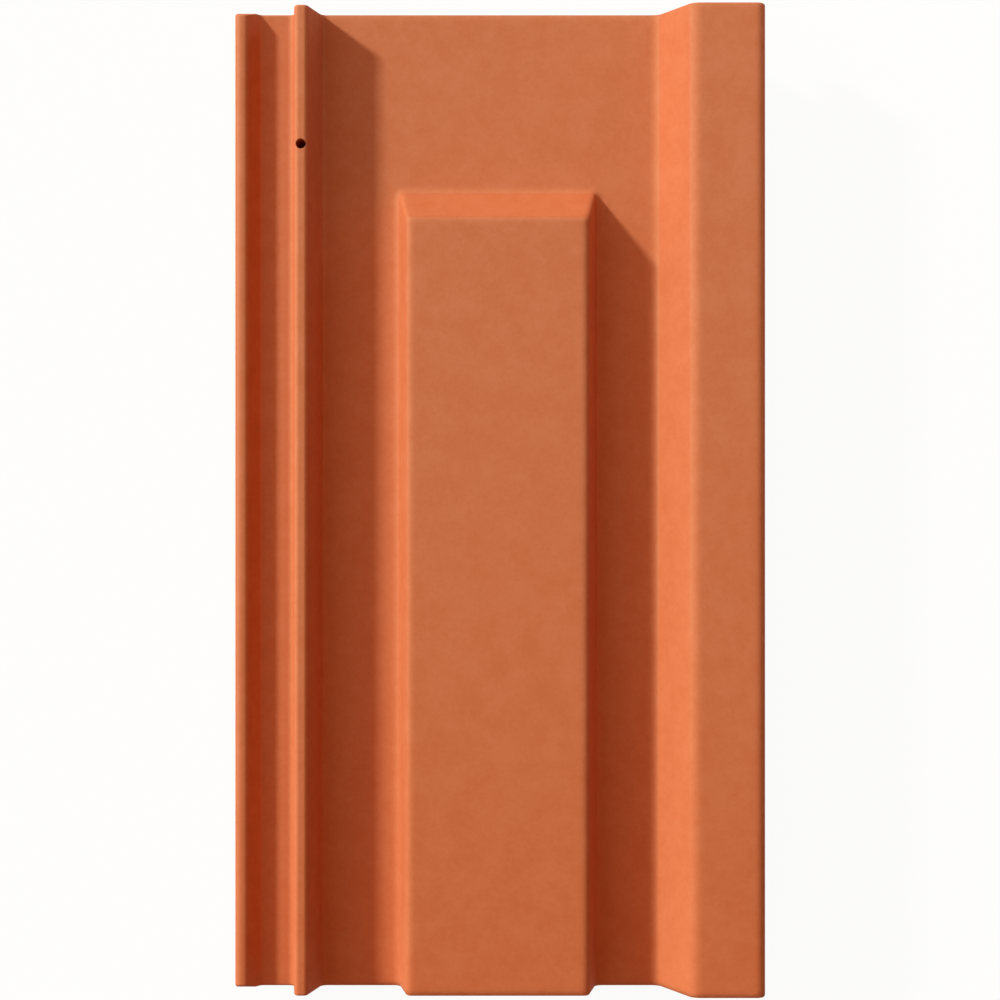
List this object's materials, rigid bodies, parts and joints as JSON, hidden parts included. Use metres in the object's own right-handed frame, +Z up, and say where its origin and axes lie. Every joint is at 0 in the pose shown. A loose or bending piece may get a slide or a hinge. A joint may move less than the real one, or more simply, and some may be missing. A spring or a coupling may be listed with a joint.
{
  "type": "interlocking clay roof tile",
  "caption": "Flat interlocking clay roof tile with a side lip and water channel, a nailing ridge with a nail hole, a raised centre rib and a cover roll; it hangs on a batten by lugs.",
  "frame": {"origin": "middle of the footprint, on the level floor that the lugs and weather bars lie on", "axes": "+X across the tile from the under-lap to the cover roll, +Y up the roof slope towards the head, +Z up"},
  "size_m": [0.226, 0.42, 0.04],
  "materials": {
    "fired_clay": "matte unglazed terracotta"
  },
  "bodies": {
    "root": {"roof_tile": "fired_clay"}
  },
  "joints": []
}
